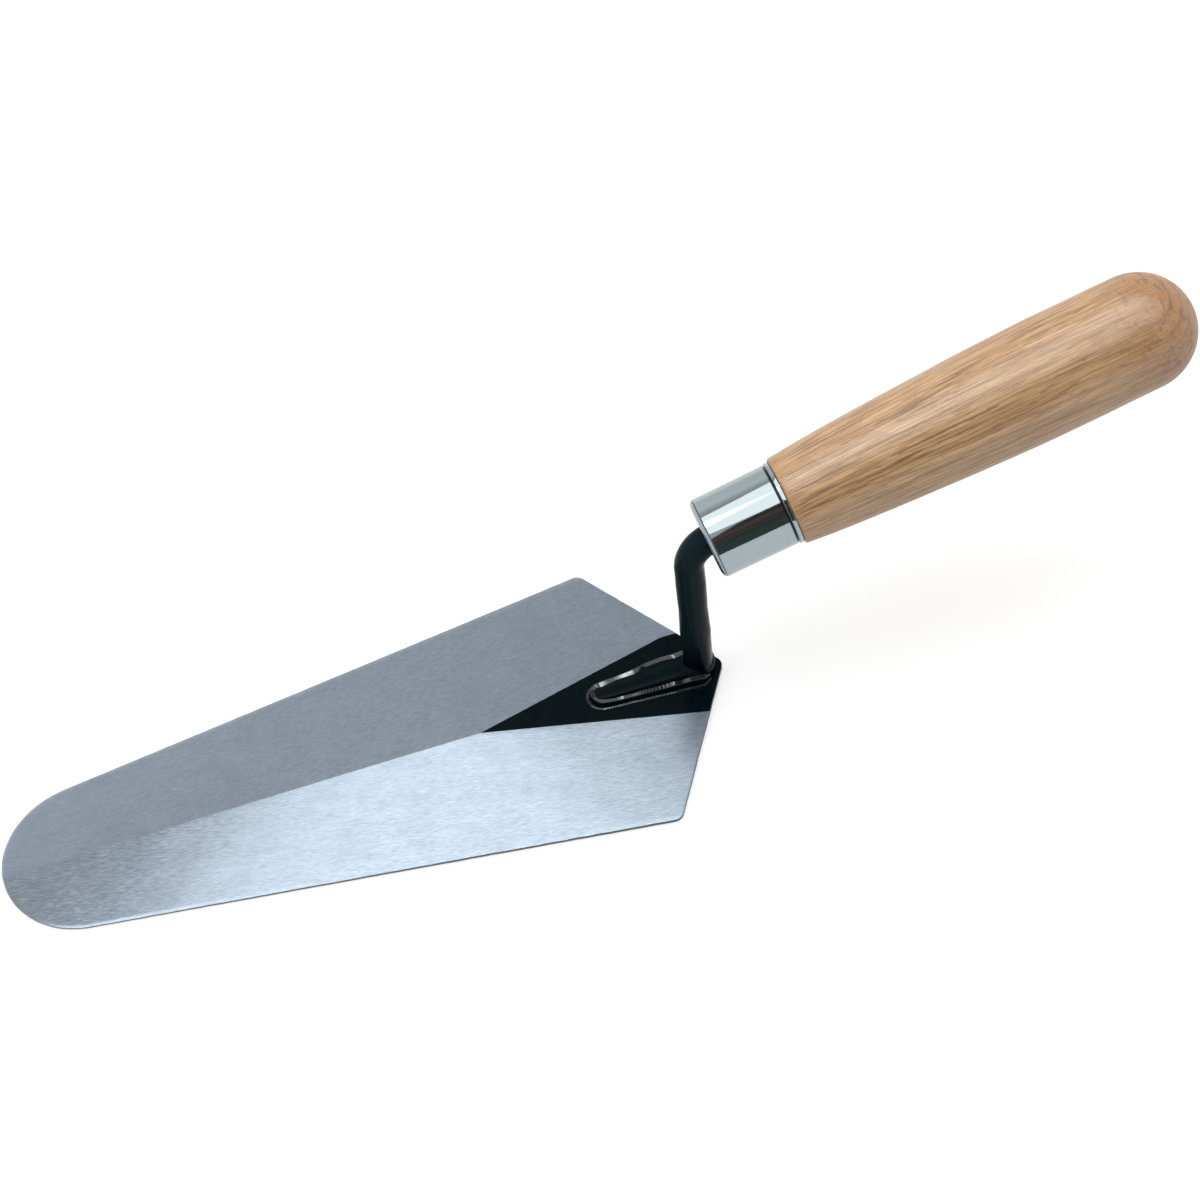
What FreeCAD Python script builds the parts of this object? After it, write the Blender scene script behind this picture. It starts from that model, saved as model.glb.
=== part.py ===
import FreeCAD, Part
import math
import os

os.makedirs("parts", exist_ok=True)

# Brick trowel, in millimetres.  The plane Y = 0 is its plane of symmetry and the underside
# of the blade lies on Z = 0.  The nose points along -X and the handle leaves along +X.
# The origin is the point of the underside where the axis of the shank would come through.

# blade: a flat plate, ground away on top towards its sides and its nose
blade_length = 200.0        # heel point to tip of nose, along the middle
blade_width = 89.0          # across the two heel corners, before they are rounded
blade_thickness = 2.0       # where it was left unground
nose_thickness = 1.06       # at the tip of the nose
corner_thickness = 1.0      # at the heel corners
heel_depth = 27.8           # heel point to the line through the heel corners
heel_setback = 7.0          # heel point behind the axis of the shank
heel_point_radius = 2.8
heel_corner_radius = 3.0
nose_radius = 22.9
ridge_end = 70.0            # heel point to where the ridge between the ground faces ends

# tang: foot welded on the blade, round shank, bend and a spike inside the handle
shank_diameter = 8.0
shank_lean = 2.3            # degrees, towards the nose on the way up
bend_height = 52.6          # where the axes of the shank and of the handle meet
bend_radius = 9.0           # of the rod's centre line
foot_reach = 31.0           # axis of the shank to the tip of the foot
foot_tip_radius = 3.0
foot_rear_margin = 0.4      # foot outside the shank, behind and beside it
foot_height_tip = 2.6
foot_height_rear = 4.4
foot_edge_radius = 0.9
root_height = 6.0           # top of the foot to where the shank is cylindrical
spike_length = 72.0         # inside the handle, behind the front of the tenon
spike_tip_diameter = 4.5

# weld beads along both sides of the foot
weld_width_tip = 1.6
weld_width_rear = 2.6
weld_height_tip = 1.3
weld_height_rear = 2.6
weld_crown = 0.3            # bulge of the bead outside the straight line over it
weld_end_share = 0.12       # of the bead's length, run out at each end
weld_end_size = 0.45        # of the full section, left at the very ends

# handle axis and ferrule
handle_lift = 15.3          # degrees above the plane of the blade
ferrule_start = 5.1         # meeting point of the axes to the front of the ferrule
ferrule_length = 22.8
ferrule_diameter = 22.0     # at its rear end, beside the lip
ferrule_draft = 0.2         # by which its front is smaller in diameter
ferrule_wall = 0.8
ferrule_shoulder_radius = 2.6
ferrule_lip_length = 1.8
ferrule_lip_rise = 0.25
ferrule_groove_length = 0.5
ferrule_groove_depth = 0.3

# wooden handle, behind the ferrule
handle_length = 113.2
neck_step = 0.95            # by which the wood stands out of the ferrule all round
neck_edge_radius = 0.7
neck_slope = 0.1            # rise of the outline where it leaves the ferrule
waist_station = 35.0        # behind the ferrule
waist_diameter = 28.3
belly_station = 72.0
belly_diameter = 30.7
butt_diameter = 30.5        # where the dome starts
butt_dome_length = 15.2

# clearances
ferrule_hole_gap = 0.1      # hole in the front wall around the bent rod
tenon_gap = 0.05            # handle inside the ferrule, all round
spike_gap = 0.05            # spike inside its bore, all round
bore_end_gap = 1.5          # behind the end of the spike
tenon_end_gap = 0.5         # in front of the tenon, behind the bend and the ferrule's wall

bezier_circle = 4.0 / 3.0 * (math.sqrt(2.0) - 1.0)     # pole distance of a quarter turn
diagonal = math.sqrt(0.5)                              # middle of a quarter circle of radius 1
overrun = 5.0                                          # cutters reach past what they cut
tiny = 1e-6                                            # lengths closer than this are equal

vec = FreeCAD.Vector
origin = vec(0, 0, 0)
axis_x = vec(1, 0, 0)
axis_y = vec(0, 1, 0)
up = vec(0, 0, 1)

heel_x = heel_setback
corner_x = heel_x - heel_depth
nose_x = heel_x - blade_length
ridge_x = heel_x - ridge_end
half_width = blade_width / 2.0
shank_radius = shank_diameter / 2.0
spike_tip_radius = spike_tip_diameter / 2.0
foot_rear_radius = shank_radius + foot_rear_margin
neck_radius = ferrule_diameter / 2.0 + neck_step

# drop of a ground face for each mm towards the nose, and for each mm away from the middle
nose_fall = (blade_thickness - nose_thickness) / (blade_length - ridge_end)
corner_fall = blade_thickness - corner_thickness + nose_fall * (ridge_end - heel_depth)
side_fall = corner_fall / half_width


def between(start, end, share):
    return start + (end - start) * share


def shank_point(height):
    """Point of the shank's axis at a height above the underside of the blade."""
    return vec(-height * math.tan(math.radians(shank_lean)), 0, height)


def bend_turn():
    """Angle in radians from the axis of the shank to the axis of the handle."""
    return math.pi / 2 + math.radians(shank_lean - handle_lift)


def bend_trim():
    """Distance from the meeting point of the two axes to either end of the bend."""
    return bend_radius * math.tan(bend_turn() / 2)


def ferrule_hole_radius():
    """Hole that clears the inner side of the rod where its bend ends behind the front wall."""
    bend_left = max(0.0, bend_trim() - ferrule_start)
    inner_radius = bend_radius - shank_radius
    rod_reach = bend_radius - math.sqrt(inner_radius ** 2 - bend_left ** 2)
    return rod_reach + ferrule_hole_gap


def on_handle_axis(shape):
    """Shape built along +X from the origin, moved onto the handle axis."""
    turn = FreeCAD.Rotation(axis_y, -handle_lift)
    shape.Placement = FreeCAD.Placement(shank_point(bend_height), turn).multiply(shape.Placement)
    return shape


def turned(edges):
    """Solid of revolution about the X axis from the edges of a closed profile in XZ."""
    face = Part.Face(Part.Wire(edges))
    return face.revolve(origin, axis_x, 360)


def lines(points):
    """Straight edges from point to point."""
    return [Part.LineSegment(a, b).toShape() for a, b in zip(points, points[1:])]


def make_blade():
    centre = vec(nose_x + nose_radius, 0, 0)
    corner = vec(corner_x, half_width, 0)
    reach = corner - centre
    turn = math.atan2(reach.y, reach.x) + math.acos(nose_radius / reach.Length)
    tangent = centre + vec(math.cos(turn), math.sin(turn), 0) * nose_radius
    mirrored = [vec(p.x, -p.y, 0) for p in (tangent, corner)]
    nose = Part.Arc(tangent, vec(nose_x, 0, 0), mirrored[0]).toShape()
    edges = lines([vec(heel_x, 0, 0), corner, tangent]) + [nose]
    edges += lines([mirrored[0], mirrored[1], vec(heel_x, 0, 0)])
    plate = Part.Face(Part.Wire(edges)).extrude(up * blade_thickness)

    def upright_at(x):
        return [edge for edge in plate.Edges if abs(edge.Length - blade_thickness) < tiny
                and all(abs(vertex.X - x) < tiny for vertex in edge.Vertexes)]
    plate = plate.makeFillet(heel_point_radius, upright_at(heel_x))
    plate = plate.makeFillet(heel_corner_radius, upright_at(corner_x))
    for side in (1, -1):
        plate = plate.cut(ground_away(side))
    return plate


def ground_away(side):
    """All that grinding takes off one side of the middle, above the ground face."""
    def on_face(x, y):
        fall = side_fall * abs(y) + nose_fall * (ridge_x - x)
        return vec(x, y, blade_thickness - fall)
    edge_y = side * (half_width + overrun)
    corners = [on_face(nose_x - overrun, 0), on_face(heel_x + overrun, 0),
               on_face(heel_x + overrun, edge_y), on_face(nose_x - overrun, edge_y)]
    face = Part.Face(Part.Wire(lines(corners + corners[:1])))
    return face.extrude(up * (blade_thickness * 2 + overrun))


def foot_side(side):
    """Straight side of the foot: front and rear ends on the blade, and its outward normal."""
    span = foot_reach - foot_tip_radius
    spread = math.asin((foot_rear_radius - foot_tip_radius) / span)
    normal = vec(-math.sin(spread), side * math.cos(spread), 0)
    front = vec(-span, 0, blade_thickness) + normal * foot_tip_radius
    rear = vec(0, 0, blade_thickness) + normal * foot_rear_radius
    return front, rear, normal


def tenon_front():
    """Front of the wooden tenon, measured along the handle axis from the bend."""
    return max(bend_trim(), ferrule_start + ferrule_wall) + tenon_end_gap


def make_foot():
    """Tongue that tapers in width and height towards the nose, with a rounded top rim."""
    front_a, rear_a, _ = foot_side(1)
    front_b, rear_b, _ = foot_side(-1)
    tip = Part.Arc(front_b, vec(-foot_reach, 0, blade_thickness), front_a).toShape()
    rear = Part.Arc(rear_a, vec(foot_rear_radius, 0, blade_thickness), rear_b).toShape()
    edges = [tip] + lines([front_a, rear_a]) + [rear] + lines([rear_b, front_b])
    outline = Part.Face(Part.Wire(edges))
    rise = (foot_height_rear - foot_height_tip) / foot_reach
    wide = foot_rear_radius + overrun

    def top(x):
        return vec(x, -wide, blade_thickness + foot_height_rear + rise * x)
    low = top(-foot_reach - overrun)
    high = top(foot_rear_radius + overrun)
    slope = [low, high, high + up * overrun, low + up * (foot_height_rear + overrun)]
    above = Part.Face(Part.Wire(lines(slope + slope[:1]))).extrude(axis_y * (2 * wide))
    foot = outline.extrude(up * (foot_height_rear + overrun)).cut(above)
    top_face = max(foot.Faces, key=lambda face: face.CenterOfMass.z)
    return foot.makeFillet(foot_edge_radius, top_face.Edges)


def make_tang():
    lean = math.radians(shank_lean)
    trim = bend_trim()
    shank_axis = vec(-math.sin(lean), 0, math.cos(lean))
    corner = shank_point(bend_height)
    bend_start = corner - shank_axis * trim
    base = shank_point(blade_thickness)
    shank = Part.makeCylinder(shank_radius, (bend_start - base).Length, base, shank_axis)
    root = Part.makeCone(foot_rear_radius, shank_radius, foot_height_rear + root_height,
                         base, shank_axis)
    inward = vec(math.cos(lean), 0, math.sin(lean))
    section = Part.Face(Part.Wire(Part.makeCircle(shank_radius, bend_start, shank_axis)))
    bend = section.revolve(bend_start + inward * bend_radius, axis_y, math.degrees(bend_turn()))
    neck_end = tenon_front()
    neck = Part.makeCylinder(shank_radius, neck_end - trim, vec(trim, 0, 0), axis_x)
    spike = Part.makeCone(shank_radius, spike_tip_radius, spike_length,
                          vec(neck_end, 0, 0), axis_x)
    tang = make_foot()
    for piece in (shank, root, bend, on_handle_axis(neck), on_handle_axis(spike)):
        tang = tang.fuse(piece)
    in_blade = Part.makeBox(foot_reach * 2, blade_width, overrun,
                            vec(-foot_reach, -half_width, blade_thickness - overrun))
    return tang.cut(in_blade).removeSplitter()


def make_weld_bead(side):
    """Bead that fills the corner between the blade and one side of the foot."""
    front, rear, normal = foot_side(side)

    def section(share, size):
        at = front + (rear - front) * share
        width = between(weld_width_tip, weld_width_rear, share) * size
        height = between(weld_height_tip, weld_height_rear, share) * size
        toe = at + normal * width
        top = at + up * height
        outward = (normal * height + up * width).normalize()
        crown = (toe + top) * 0.5 + outward * (weld_crown * size)
        arc = Part.Arc(top, crown, toe).toShape()
        return Part.Wire(lines([at, top]) + [arc] + lines([toe, at]))
    stations = [(0.0, weld_end_size), (weld_end_share, 1.0),
                (1.0 - weld_end_share, 1.0), (1.0, weld_end_size)]
    return Part.makeLoft([section(share, size) for share, size in stations], True, True)


def ferrule_radius(station):
    """Outer radius of the ferrule's taper, station measured from its front."""
    front = ferrule_diameter - ferrule_draft
    return between(front, ferrule_diameter, station / ferrule_length) / 2.0


def make_ferrule():
    hole = ferrule_hole_radius()
    rounding = ferrule_shoulder_radius
    inner_rounding = rounding - ferrule_wall
    end = ferrule_length
    lip = end - ferrule_lip_length
    groove = lip - ferrule_groove_length

    def outside(station, rise=0.0):
        return vec(station, 0, ferrule_radius(station) + rise)

    def inside(station):
        return vec(station, 0, ferrule_radius(station) - ferrule_wall)

    def shoulder(tangent, centre_x, radius):
        centre = vec(centre_x, 0, tangent.z - radius)
        middle = centre + vec(-diagonal, 0, diagonal) * radius
        front = centre + vec(-radius, 0, 0)
        return Part.Arc(front, middle, tangent).toShape(), front
    outer_arc, outer_front = shoulder(outside(rounding), rounding, rounding)
    inner_arc, inner_front = shoulder(inside(rounding), rounding, inner_rounding)
    edges = lines([vec(ferrule_wall, 0, hole), vec(0, 0, hole), outer_front]) + [outer_arc]
    edges += lines([outside(rounding), outside(groove), outside(lip, -ferrule_groove_depth),
                    outside(lip, ferrule_lip_rise), outside(end, ferrule_lip_rise),
                    inside(end), inside(rounding)])
    edges += [inner_arc] + lines([inner_front, vec(ferrule_wall, 0, hole)])
    ferrule = turned(edges)
    ferrule.translate(vec(ferrule_start, 0, 0))
    return on_handle_axis(ferrule)


def make_handle():
    butt = butt_diameter / 2.0
    dome_x = handle_length - butt_dome_length
    tenon_end = tenon_front() - ferrule_start - ferrule_length
    chamfer = ferrule_shoulder_radius

    def tenon(station):
        radius = ferrule_radius(station + ferrule_length) - ferrule_wall - tenon_gap
        return vec(station, 0, radius)
    chamfer_end = tenon(tenon_end + chamfer)
    front_rim = vec(tenon_end, 0, chamfer_end.z - chamfer)
    rounded = neck_edge_radius * (1 - diagonal)
    neck_front = vec(0, 0, neck_radius - neck_edge_radius)
    neck_top = vec(neck_edge_radius, 0, neck_radius)
    edge_arc = Part.Arc(neck_front, vec(rounded, 0, neck_radius - rounded), neck_top).toShape()
    belly = Part.BSplineCurve()
    belly.interpolate([neck_top, vec(waist_station, 0, waist_diameter / 2.0),
                       vec(belly_station, 0, belly_diameter / 2.0), vec(dome_x, 0, butt)],
                      InitialTangent=vec(1, 0, neck_slope), FinalTangent=axis_x)
    dome = Part.BezierCurve()
    dome.setPoles([vec(dome_x, 0, butt),
                   vec(dome_x + bezier_circle * butt_dome_length, 0, butt),
                   vec(handle_length, 0, bezier_circle * butt), vec(handle_length, 0, 0)])
    edges = lines([vec(handle_length, 0, 0), vec(tenon_end, 0, 0), front_rim, chamfer_end,
                   tenon(0), neck_front])
    edges += [edge_arc, belly.toShape(), dome.toShape()]
    handle = turned(edges)
    handle.translate(vec(ferrule_start + ferrule_length, 0, 0))
    return on_handle_axis(handle.cut(make_bore()))


def make_bore():
    """Tapered bore for the spike, with its clearance, open at the front of the tenon."""
    start = tenon_front()
    taper = (shank_radius - spike_tip_radius) / spike_length
    end_radius = spike_tip_radius - taper * bore_end_gap + spike_gap
    return Part.makeCone(shank_radius + spike_gap, end_radius, spike_length + bore_end_gap,
                         vec(start, 0, 0), axis_x)


pieces = {
    "blade": make_blade(),
    "tang": make_tang(),
    "weld_bead_left": make_weld_bead(1),
    "weld_bead_right": make_weld_bead(-1),
    "ferrule": make_ferrule(),
    "handle": make_handle(),
}
for name, shape in pieces.items():
    state = "valid" if shape.isValid() else "not valid"
    print(name, state, len(shape.Solids), "solid", round(shape.Volume, 1), "mm3")
    shape.exportStep("parts/" + name + ".step")
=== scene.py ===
import math

import bmesh
import bpy
import numpy as np
from mathutils import Matrix, Vector


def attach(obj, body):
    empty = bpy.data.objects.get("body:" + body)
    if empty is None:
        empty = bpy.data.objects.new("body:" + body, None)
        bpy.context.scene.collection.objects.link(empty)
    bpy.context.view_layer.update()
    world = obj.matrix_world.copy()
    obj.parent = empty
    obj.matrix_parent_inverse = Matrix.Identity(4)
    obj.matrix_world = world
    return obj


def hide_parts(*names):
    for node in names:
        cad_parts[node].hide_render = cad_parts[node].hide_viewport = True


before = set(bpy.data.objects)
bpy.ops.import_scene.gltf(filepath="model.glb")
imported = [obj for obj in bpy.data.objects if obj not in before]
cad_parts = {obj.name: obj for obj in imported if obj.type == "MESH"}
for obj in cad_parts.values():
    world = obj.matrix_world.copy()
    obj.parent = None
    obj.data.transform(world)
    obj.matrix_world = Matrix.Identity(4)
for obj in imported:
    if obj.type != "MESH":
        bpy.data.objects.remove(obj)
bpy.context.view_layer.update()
scene = bpy.context.scene
mm = 0.001
sideways = np.array([0.0, 1.0, 0.0])
print("frame loaded:", sorted(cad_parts))


# helpers for meshes

def smoothStep(low, high, value):
    share = np.clip((value - low) / (high - low), 0.0, 1.0)
    return share * share * (3.0 - 2.0 * share)


def waves(seed, count, shortest, longest):
    # a smooth uneven line: a sum of sines of seeded lengths and phases, scaled to about -1..1
    draw = np.random.default_rng(seed)
    lengths = draw.uniform(shortest, longest, count)
    phases = draw.uniform(0.0, 2.0 * math.pi, count)

    def line(at):
        at = np.asarray(at, float)[..., None]
        return np.sin(2.0 * math.pi * at / lengths + phases).sum(-1) / math.sqrt(count)
    return line


def ringAngles(count):
    return np.linspace(0.0, 2.0 * math.pi, count, endpoint=False)


def stripFaces(rows, columns):
    # four-sided faces of a grid of points stored row by row, whose last column joins the first
    row, column = np.meshgrid(np.arange(rows - 1), np.arange(columns), indexing="ij")
    following = (column + 1) % columns
    corners = [row * columns + column, row * columns + following,
               (row + 1) * columns + following, (row + 1) * columns + column]
    return np.stack(corners, -1).reshape(-1, 4)


def makePiece(name, points, faces, material, edge=None):
    mesh = bpy.data.meshes.new(name)
    mesh.from_pydata(np.asarray(points, float).reshape(-1, 3).tolist(), [], [list(f) for f in faces])
    if edge is not None:
        layer = mesh.attributes.new("edge", "FLOAT", "POINT")
        layer.data.foreach_set("value", np.asarray(edge, np.float32).ravel())
    mesh.polygons.foreach_set("use_smooth", np.ones(len(mesh.polygons), bool))
    mesh.materials.append(material)
    mesh.update()
    piece = bpy.data.objects.new(name, mesh)
    scene.collection.objects.link(piece)
    return piece


def tubeFaces(rows, columns):
    # a closed skin round a path, with one extra point in the middle of each end
    sides = stripFaces(rows, columns).tolist()
    around = np.arange(columns)
    following = (around + 1) % columns
    first, last = rows * columns, rows * columns + 1
    top = (rows - 1) * columns
    start = np.stack([following, around, np.full(columns, first)], -1)
    end = np.stack([top + around, top + following, np.full(columns, last)], -1)
    return sides + start.tolist() + end.tolist()


def carryRound(centre, radius, around, first, second):
    # rings of points: the centre, plus the radius times the angle's cos and sin along two directions
    turned = np.cos(around)[None, :, None] * first + np.sin(around)[None, :, None] * second
    return centre + radius[..., None] * turned


def tubePoints(rings):
    # the rings of a tube followed by the middle of its first and last ring
    flat = rings.reshape(-1, 3)
    return np.concatenate([flat, rings[:1].mean(1), rings[-1:].mean(1)])


# helpers for shader nodes

def feed(node, inputs):
    # an input is linked if it is given a socket, and set if it is given a value
    for key, value in inputs.items():
        if isinstance(value, bpy.types.NodeSocket):
            node.id_data.links.new(value, node.inputs[key])
        else:
            node.inputs[key].default_value = value


def addNode(kind, inputs, **settings):
    # the node joins the tree that its linked inputs come from
    tree = next(value.id_data for value in inputs.values() if isinstance(value, bpy.types.NodeSocket))
    node = tree.nodes.new(kind)
    for key, value in settings.items():
        setattr(node, key, value)
    feed(node, inputs)
    return node


def calc(operation, a, b=None):
    inputs = {0: a} if b is None else {0: a, 1: b}
    return addNode("ShaderNodeMath", inputs, operation=operation).outputs[0]


def plus(a, b):
    return calc("ADD", a, b)


def minus(a, b):
    return calc("SUBTRACT", a, b)


def times(a, b):
    return calc("MULTIPLY", a, b)


def remap(value, low, high, newLow=0.0, newHigh=1.0, smooth=True):
    inputs = {"Value": value, "From Min": low, "From Max": high, "To Min": newLow, "To Max": newHigh}
    kind = "SMOOTHSTEP" if smooth else "LINEAR"
    return addNode("ShaderNodeMapRange", inputs, interpolation_type=kind).outputs["Result"]


def mixValue(share, a, b):
    return addNode("ShaderNodeMix", {0: share, 2: a, 3: b}).outputs[0]


def mixColour(share, a, b):
    a, b = (c if isinstance(c, bpy.types.NodeSocket) else (*c, 1.0) for c in (a, b))
    return addNode("ShaderNodeMix", {0: share, 6: a, 7: b}, data_type="RGBA").outputs[2]


def stain(tone, mask, strength, colour):
    return mixColour(times(mask, strength), tone, colour)


def splitAxes(vector):
    return addNode("ShaderNodeSeparateXYZ", {0: vector}).outputs


def joinAxes(x, y, z):
    return addNode("ShaderNodeCombineXYZ", {0: x, 1: y, 2: z}).outputs[0]


def stretch(vector, factors):
    return addNode("ShaderNodeVectorMath", {0: vector, 1: factors}, operation="MULTIPLY").outputs[0]


def noise(vector, scale, detail, roughness, distortion=0.0):
    inputs = {"Vector": vector, "Scale": scale, "Detail": detail, "Roughness": roughness,
              "Distortion": distortion}
    return addNode("ShaderNodeTexNoise", inputs).outputs["Fac"]


def seenRays(tree):
    # 1 for a ray that looks at the surface, straight, mirrored or through something clear, else 0
    path = tree.nodes.new("ShaderNodeLightPath").outputs
    seen = calc("MAXIMUM", path["Is Camera Ray"], path["Is Glossy Ray"])
    return calc("MAXIMUM", seen, path["Is Transmission Ray"])


def bumpInto(shader, height, distance):
    bump = addNode("ShaderNodeBump", {"Height": height, "Distance": distance, "Strength": 1.0})
    feed(shader, {"Normal": bump.outputs[0]})


def newMaterial(name):
    material = bpy.data.materials.new(name)
    material.use_nodes = True
    nodes = material.node_tree.nodes
    where = nodes.new("ShaderNodeTexCoord").outputs["Object"]
    return material, nodes["Principled BSDF"], where


def newGroup(name, numbers, results):
    # a node group that takes a vector and some numbers, and gives numbers
    group = bpy.data.node_groups.new(name, "ShaderNodeTree")
    group.interface.new_socket("Vector", in_out="INPUT", socket_type="NodeSocketVector")
    for label in numbers:
        group.interface.new_socket(label, in_out="INPUT", socket_type="NodeSocketFloat")
    for label in results:
        group.interface.new_socket(label, in_out="OUTPUT", socket_type="NodeSocketFloat")
    return group, group.nodes.new("NodeGroupInput").outputs, group.nodes.new("NodeGroupOutput").inputs


# effects that several finishes share

def makeStreaks():
    # long thin lines along the vector's X: fine noise stretched by the given lengths, and a broader layer
    group, given, out = newGroup("streaks", ("Length", "Width", "Spread"), ("Fine", "Both"))
    parts = splitAxes(given["Vector"])
    along = calc("DIVIDE", parts[0], given["Length"])
    across = [calc("DIVIDE", parts[axis], given["Width"]) for axis in (1, 2)]
    fineAt = joinAxes(along, *across)
    fine = noise(fineAt, 1.0, 3.0, 0.6)
    broad = noise(stretch(fineAt, (0.37, 0.21, 0.21)), 1.0, 2.0, 0.5)
    group.links.new(fine, out["Fine"])
    group.links.new(mixValue(given["Spread"], fine, broad), out["Both"])
    return group


def makeMottle():
    # cloudy unevenness in a coating or a surface, with a grain nine times finer than the given size
    group, given, out = newGroup("mottle", ("Size",), ("Cloud", "Grain"))
    scale = calc("DIVIDE", 1.0, given["Size"])
    finer = times(scale, 9.0)
    group.links.new(noise(given["Vector"], scale, 3.0, 0.55), out["Cloud"])
    group.links.new(noise(given["Vector"], finer, 2.0, 0.6), out["Grain"])
    return group


def makeSpecks():
    # small round pits of uneven size, one in some of the cells of the given size
    group, given, out = newGroup("specks", ("Cell", "Radius", "Share"), ("Mask",))
    scale = calc("DIVIDE", 1.0, given["Cell"])
    cells = addNode("ShaderNodeTexVoronoi", {"Vector": given["Vector"], "Scale": scale})
    level = addNode("ShaderNodeSeparateColor", {0: cells.outputs["Color"]}).outputs
    size = times(given["Radius"], plus(level[1], 0.35))
    spot = remap(minus(size, cells.outputs["Distance"]), 0.0, 0.02)
    chosen = calc("LESS_THAN", level[0], given["Share"])
    group.links.new(times(spot, chosen), out["Mask"])
    return group


streaks, mottle, specks = makeStreaks(), makeMottle(), makeSpecks()


def place(group, **inputs):
    return addNode("ShaderNodeGroup", inputs, node_tree=group).outputs


def drawLines(vector, length, width, spread):
    return place(streaks, Vector=vector, Length=length, Width=width, Spread=spread)


# camera, floor and light

camera = {"target": (-17.534 * mm, 34.404 * mm, 0.0), "azimuth": -14.30034, "elevation": 50.15491,
          "roll": -5.08782, "distance": 596.993 * mm, "lens": 63.0}


def makeCamera():
    azimuth, elevation = math.radians(camera["azimuth"]), math.radians(camera["elevation"])
    back = Vector((math.sin(azimuth) * math.cos(elevation), -math.cos(azimuth) * math.cos(elevation),
                   math.sin(elevation)))
    right = Vector((math.cos(azimuth), math.sin(azimuth), 0.0))
    turn = Matrix.Rotation(math.radians(camera["roll"]), 3, back)
    right, upward = turn @ right, turn @ back.cross(right)
    data = bpy.data.cameras.new("camera")
    data.lens = camera["lens"]
    data.clip_start, data.clip_end = 0.01, 100.0
    seen = bpy.data.objects.new("camera", data)
    seen.matrix_world = Matrix.Translation(Vector(camera["target"]) + back * camera["distance"]) @ \
        Matrix((right, upward, back)).transposed().to_4x4()
    scene.collection.objects.link(seen)
    scene.camera = seen


studio = {"floorColour": (0.54, 0.54, 0.54), "floorClouds": 20.0 * mm, "floorCloudy": 0.985,
          "floorRoughness": 0.9, "floorGlow": 0.55, "floorFade": (0.8, 3.2), "floorSize": 40.0,
          "floorDrop": 0.15 * mm,
          "softboxHeight": 5.0, "softboxSide": 5.9, "softboxCentre": (0.16, -0.375), "softboxLevel": 1.6,
          "coreHeight": 4.9, "coreSide": 1.0, "coreCentre": (-1.55, -0.05), "coreLevel": 4.4,
          "coreColour": (0.85, 0.95, 1.0), "sparkHeight": 4.85, "sparkSide": 0.28,
          "sparkCentre": (0.22, 0.68), "sparkLevel": 24.0, "sparkColour": (0.9, 0.97, 1.0),
          "lampTurn": 45.0, "skyHeights": (0.6, 0.9), "skyLevels": (0.95, 0.475),
          "skyMiddle": (-0.25, 0.25), "skySides": (1.15, 0.85), "horizon": 1.0, "horizonFill": 0.2,
          "horizonTop": 0.45, "frontFill": 0.28, "frontSpan": (-0.7, 0.1),
          "flagDistance": 0.9, "flagWidth": 0.6, "flagHeight": 1.35, "folds": (0.5, 0.05, 0.6),
          "flagLow": ((0.035, 0.055, 0.052), (0.12, 0.15, 0.14)), "flagFade": (0.25, 0.8),
          "flagHigh": ((0.07, 0.05, 0.046), (0.21, 0.15, 0.135))}


def makeFloor():
    material, shader, where = newMaterial("floorPaper")
    clouds = place(mottle, Vector=where, Size=studio["floorClouds"])["Cloud"]
    shaded = tuple(c * studio["floorCloudy"] for c in studio["floorColour"])
    # far from the lamps the paper fades into the white horizon
    distance = addNode("ShaderNodeVectorMath", {0: where}, operation="LENGTH").outputs["Value"]
    glow = remap(distance, *studio["floorFade"], studio["floorGlow"], 1.0)
    feed(shader, {"Base Color": mixColour(clouds, studio["floorColour"], shaded),
                  "Roughness": studio["floorRoughness"], "Specular IOR Level": 0.0,
                  "Emission Color": (1.0, 1.0, 1.0, 1.0),
                  "Emission Strength": times(seenRays(shader.id_data), glow)})
    half, low = studio["floorSize"] / 2.0, -studio["floorDrop"]
    corners = [(-half, -half, low), (half, -half, low), (half, half, low), (-half, half, low)]
    makePiece("floor", corners, [(0, 1, 2, 3)], material)


def makeFlag():
    # a dark cloth on the camera's side of the studio, which bright metal needs for its contrast
    material, shader, where = newMaterial("flagCloth")
    folds = drawLines(where, *studio["folds"])["Both"]
    lit = remap(folds, 0.35, 0.65)
    height = remap(splitAxes(where)[2], *studio["flagFade"])
    cloth = mixColour(height, mixColour(lit, *studio["flagLow"]), mixColour(lit, *studio["flagHigh"]))
    feed(shader, {"Base Color": cloth, "Roughness": 1.0, "Specular IOR Level": 0.0})
    half, away, top = studio["flagWidth"] / 2.0, -studio["flagDistance"], studio["flagHeight"]
    corners = [(-half, away, 0.0), (-half, away, top), (half, away, top), (half, away, 0.0)]
    flag = makePiece("flag", corners, [(0, 1, 2, 3)], material)
    flag.visible_camera = flag.visible_diffuse = flag.visible_shadow = False


def makeLamps():
    # a wide soft panel overhead, turned by 45 degrees, with a bright core and a small spark below it
    for name in ("softbox", "core", "spark"):
        data = bpy.data.lights.new(name, "AREA")
        data.shape = "SQUARE"
        data.size = studio[name + "Side"]
        data.energy = studio[name + "Level"] * math.pi * data.size ** 2
        data.color = studio.get(name + "Colour", (1.0, 1.0, 1.0))
        lamp = bpy.data.objects.new(name, data)
        lamp.location = (*studio[name + "Centre"], studio[name + "Height"])
        lamp.rotation_euler = (0.0, 0.0, math.radians(studio["lampTurn"]))
        lamp.visible_camera = False
        scene.collection.objects.link(lamp)


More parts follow.
